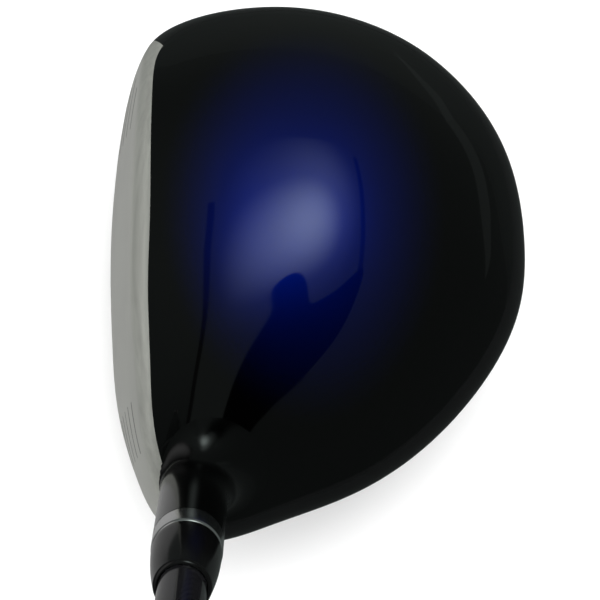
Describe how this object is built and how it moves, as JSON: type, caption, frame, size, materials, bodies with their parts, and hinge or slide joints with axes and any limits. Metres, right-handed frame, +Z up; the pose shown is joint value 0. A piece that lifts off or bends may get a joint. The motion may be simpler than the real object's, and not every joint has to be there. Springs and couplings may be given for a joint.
{
  "type": "golf driver",
  "caption": "Compact right-handed golf driver with a brushed metal face, gloss crown, bonded graphite shaft, rubber grip and screw-in sole weights.",
  "frame": {"origin": "on the ground plane, at the middle of the flat badge that the sole rests on", "axes": "+Z up with the club at address, -X the way the face looks, +Y towards the toe; the shaft rises towards -Y and +Z"},
  "size_m": [0.0901, 0.6876, 0.9981],
  "materials": {
    "brushed_face": "bare titanium, brushed heel to toe",
    "crown_paint": "deep gloss clear coat, blue in the middle fading to black",
    "sole_paint": "gloss black",
    "neck_paint": "gloss black",
    "bright_ring": "polished",
    "ferrule_gloss": "polished black",
    "plug_foam": "matte foam",
    "epoxy": "cured resin",
    "shaft_paint": "gloss black over woven fibre",
    "cork": "raw cork",
    "grip_tape": "matte",
    "grip_rubber": "matte, textured",
    "grip_cap_plastic": "matte",
    "badge_metal": "satin",
    "bare_metal": "bare titanium",
    "rattle_glue": "tacky glue",
    "weight_metal": "dull dense alloy",
    "screw_steel": "dark oxide"
  },
  "bodies": {
    "club": {"face_cup": "brushed_face", "crown_shell": "crown_paint", "sole_shell": "sole_paint", "hosel_neck": "neck_paint", "hosel_ring": "bright_ring", "ferrule": "ferrule_gloss", "bore_plug": "plug_foam", "epoxy_bond": "epoxy", "shaft": "shaft_paint", "tip_cork": "cork", "grip_tape": "grip_tape", "grip_sleeve": "grip_rubber", "grip_cap": "grip_cap_plastic", "sole_badge": "badge_metal", "sound_ribs": "bare_metal", "rattle_glue": "rattle_glue", "toe_weight_port": "bare_metal", "heel_weight_port": "bare_metal"},
    "toe_weight": {"toe_weight_slug": "weight_metal", "toe_weight_washer": "bright_ring"},
    "toe_screw": {"toe_weight_screw": "screw_steel"},
    "heel_weight": {"heel_weight_slug": "weight_metal", "heel_weight_washer": "bright_ring"},
    "heel_screw": {"heel_weight_screw": "screw_steel"}
  },
  "joints": [
    {"name": "toe_weight_travel", "type": "slide", "parent": "club", "child": "toe_weight", "axis": [0.3103, 0.2568, -0.9153], "range_m": [0, 0.007]},
    {"name": "toe_screw_turn", "type": "hinge", "parent": "toe_weight", "child": "toe_screw", "pos_m": [0.02071, 0.0192, 0.00409], "axis": [0.3103, 0.2568, -0.9153], "range_deg": [0, 3150.1]},
    {"name": "heel_weight_travel", "type": "slide", "parent": "club", "child": "heel_weight", "axis": [0.3526, -0.3047, -0.8848], "range_m": [0, 0.007]},
    {"name": "heel_screw_turn", "type": "hinge", "parent": "heel_weight", "child": "heel_screw", "pos_m": [0.02064, -0.02417, 0.00453], "axis": [0.3526, -0.3047, -0.8848], "range_deg": [0, 3150.1]}
  ],
  "couplings": [
    {"joint": "toe_screw_turn", "follows": "toe_weight_travel", "rad_per_m": 7854},
    {"joint": "heel_screw_turn", "follows": "heel_weight_travel", "rad_per_m": 7854}
  ]
}
